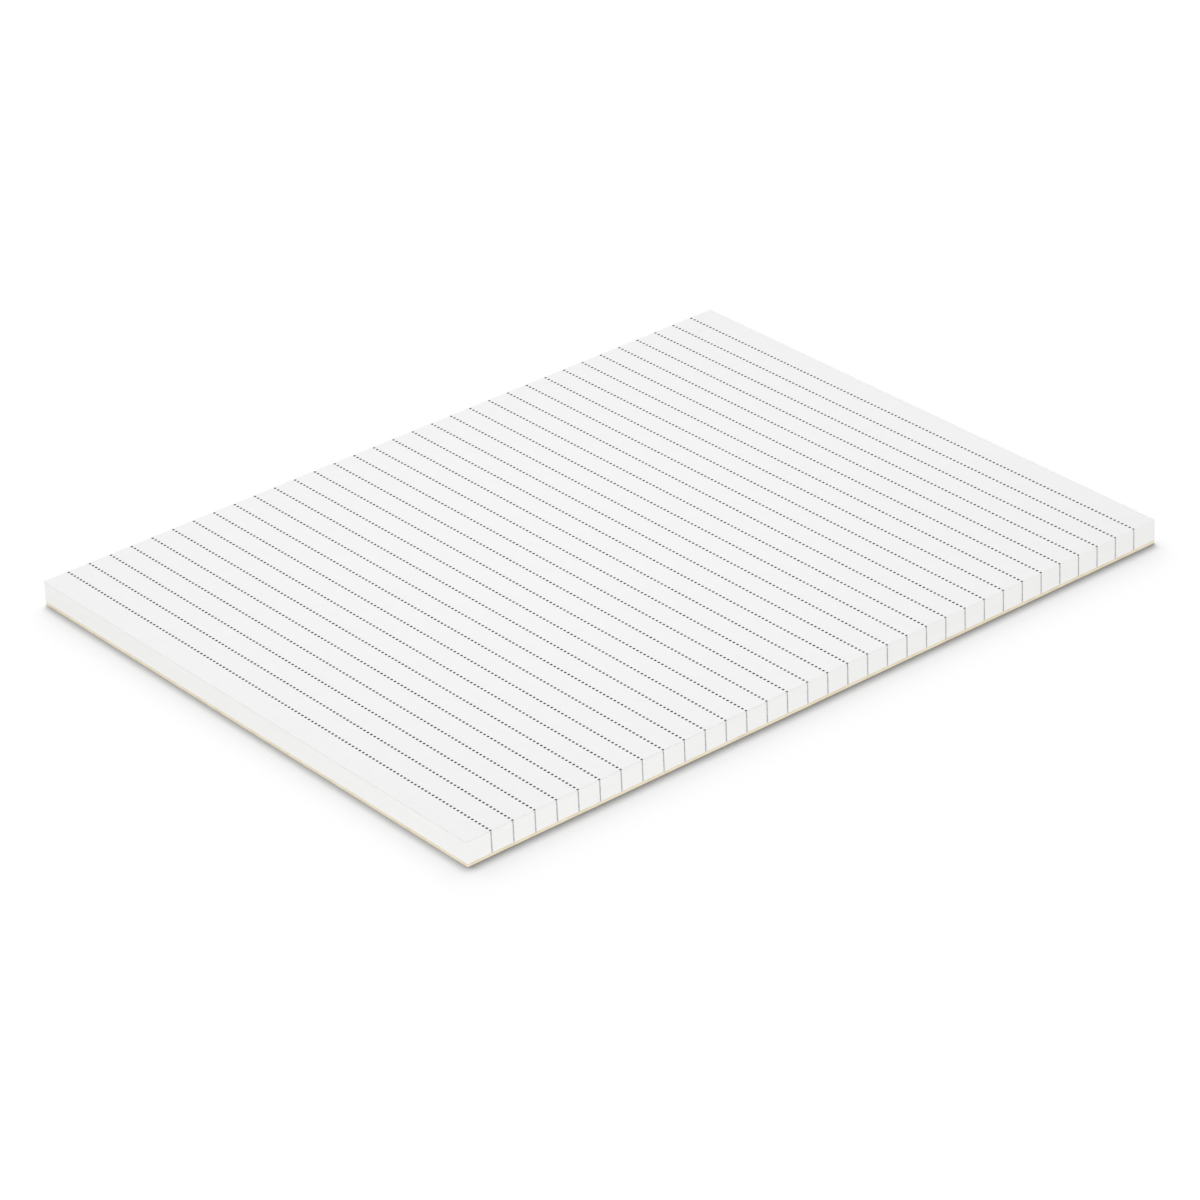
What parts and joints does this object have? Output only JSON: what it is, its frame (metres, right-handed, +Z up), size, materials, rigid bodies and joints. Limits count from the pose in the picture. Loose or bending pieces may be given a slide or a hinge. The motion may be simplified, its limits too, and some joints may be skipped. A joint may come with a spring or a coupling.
{
  "type": "legal pad",
  "caption": "Tear-off pad of white dot-ruled writing paper on a buff board backing, glued along its head edge, with the ruling showing as fine lines on its long cut edges.",
  "frame": {"origin": "middle of the underside, on the surface that the pad lies on", "axes": "+X across the sheet, +Y along its length from the foot edge to the glued head edge, +Z up"},
  "size_m": [0.216, 0.2796, 0.0085],
  "materials": {
    "paper": "matt white bond paper",
    "board": "plain buff chipboard",
    "glue": "dried white padding glue, slightly glossy",
    "rule_ink": "dark grey printing ink",
    "edge_ink": "grey ink on cut paper edges"
  },
  "bodies": {
    "root": {"page_block": "paper", "backing_board": "board", "binding_glue": "glue", "printed_rules": "rule_ink", "edge_rule_marks": "edge_ink"}
  },
  "joints": []
}
